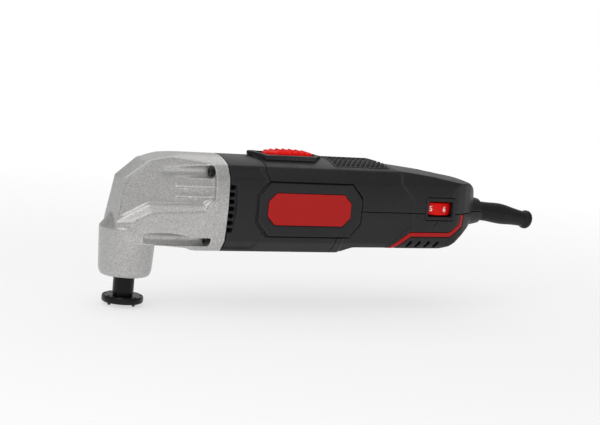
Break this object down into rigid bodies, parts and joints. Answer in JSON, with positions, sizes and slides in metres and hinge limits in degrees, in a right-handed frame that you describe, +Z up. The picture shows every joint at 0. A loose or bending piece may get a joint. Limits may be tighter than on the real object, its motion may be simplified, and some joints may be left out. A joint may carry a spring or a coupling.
{
  "type": "oscillating multi tool",
  "caption": "Corded oscillating multi tool with a cast gear head, bare drive flange, split handle, slide switch, speed dial and cord boot; its spindle, motor, switch and dial move.",
  "frame": {"origin": "centre of the tool in plan, on the plane under the tips of the drive pins", "axes": "+X from the gear head to the cord boot, +Y to the side away from the speed dial, +Z up along the spindle"},
  "size_m": [0.3118, 0.0554, 0.1004],
  "materials": {
    "cast_paint": "speckled silver paint on a casting",
    "shell_plastic": "fine grained moulding",
    "trim_black": "satin",
    "badge_red": "satin",
    "control_red": "satin",
    "soft_rubber": "matte",
    "boot_rubber": "satin",
    "black_steel": "black oxide",
    "bright_steel": "ground",
    "cast_plate": "as cast",
    "laminations": "stacked sheet",
    "bronze": "plain",
    "copper": "varnished",
    "carbon": "pressed carbon",
    "inner_plastic": "plain",
    "board_green": "lacquered",
    "part_blue": "plain"
  },
  "bodies": {
    "housing": {"gear_housing": "cast_paint", "motor_housing": "shell_plastic", "handle_upper_shell": "shell_plastic", "handle_lower_shell": "shell_plastic", "badge_left": "badge_red", "badge_right": "badge_red", "switch_bezel": "trim_black", "dial_frame": "trim_black", "grip_pad": "soft_rubber", "accent_trim_left": "badge_red", "accent_trim_right": "badge_red", "gear_case_screw_1": "black_steel", "gear_case_screw_2": "black_steel", "gear_case_screw_3": "black_steel", "gear_case_screw_4": "black_steel", "shell_screw_1": "black_steel", "shell_screw_2": "black_steel", "shell_screw_3": "black_steel", "shell_screw_4": "black_steel", "clamp_screw_1": "bright_steel", "clamp_screw_2": "bright_steel", "dust_seal": "soft_rubber", "bearing_clip": "bright_steel", "lower_spindle_bearing": "bright_steel", "upper_spindle_bush": "bronze", "bearing_plate": "cast_plate", "front_motor_bearing": "bright_steel", "rear_motor_bearing": "bright_steel", "rear_end_bell": "inner_plastic", "stator_core": "laminations", "brush_holder_left": "bronze", "brush_holder_right": "bronze", "carbon_brush_left": "carbon", "carbon_brush_right": "carbon", "switch_module": "inner_plastic", "control_board": "board_green", "speed_potentiometer": "part_blue", "cord_boot": "boot_rubber", "cord_clamp": "inner_plastic"},
    "output_spindle": {"spindle": "black_steel", "tool_flange": "black_steel", "drive_fork": "bright_steel"},
    "armature": {"armature_shaft": "bright_steel", "armature_core": "laminations", "winding_front": "copper", "winding_rear": "copper", "commutator": "copper", "cooling_fan": "inner_plastic", "eccentric": "bright_steel", "eccentric_bearing": "bright_steel"},
    "switch": {"slide_button": "control_red", "switch_rod": "inner_plastic"},
    "dial": {"speed_dial": "control_red"}
  },
  "joints": [
    {"name": "spindle_oscillation", "type": "hinge", "parent": "housing", "child": "output_spindle", "pos_m": [-0.13803, 0, 0.03], "axis": [0, 0, 1], "range_deg": [-1.6, 1.6]},
    {"name": "armature_spin", "type": "hinge", "parent": "housing", "child": "armature", "pos_m": [-0.04802, 0, 0.066], "axis": [1, 0, 0], "continuous": true},
    {"name": "switch_slide", "type": "slide", "parent": "housing", "child": "switch", "axis": [-1, 0, 0], "range_m": [0, 0.006]},
    {"name": "dial_turn", "type": "hinge", "parent": "housing", "child": "dial", "pos_m": [0.06698, -0.0134, 0.0686], "axis": [0, 0, 1], "range_deg": [-135, 135]}
  ]
}
